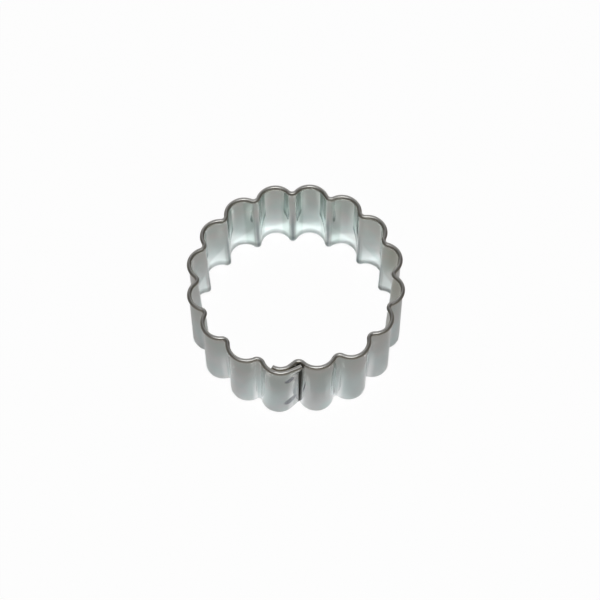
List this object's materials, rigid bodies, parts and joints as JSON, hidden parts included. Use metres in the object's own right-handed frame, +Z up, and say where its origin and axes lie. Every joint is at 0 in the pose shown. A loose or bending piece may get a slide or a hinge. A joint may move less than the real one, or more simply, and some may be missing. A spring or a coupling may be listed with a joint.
{
  "type": "biscuit cutter",
  "caption": "Round fluted biscuit cutter: a hemmed metal strip bent into a scalloped ring, open right through, its lapped ends spot welded.",
  "frame": {"origin": "on the surface that the cutter stands on, at the middle of the ring", "axes": "+Z up along the ring's axis, from the cutting edge to the hemmed rim; -Y towards the lapped seam"},
  "size_m": [0.0472, 0.0474, 0.02],
  "materials": {
    "bright_strip": "bright rolled strip, satin",
    "weld_metal": "dull fused metal"
  },
  "bodies": {
    "root": {"cutter_band": "bright_strip", "spot_welds": "weld_metal"}
  },
  "joints": []
}
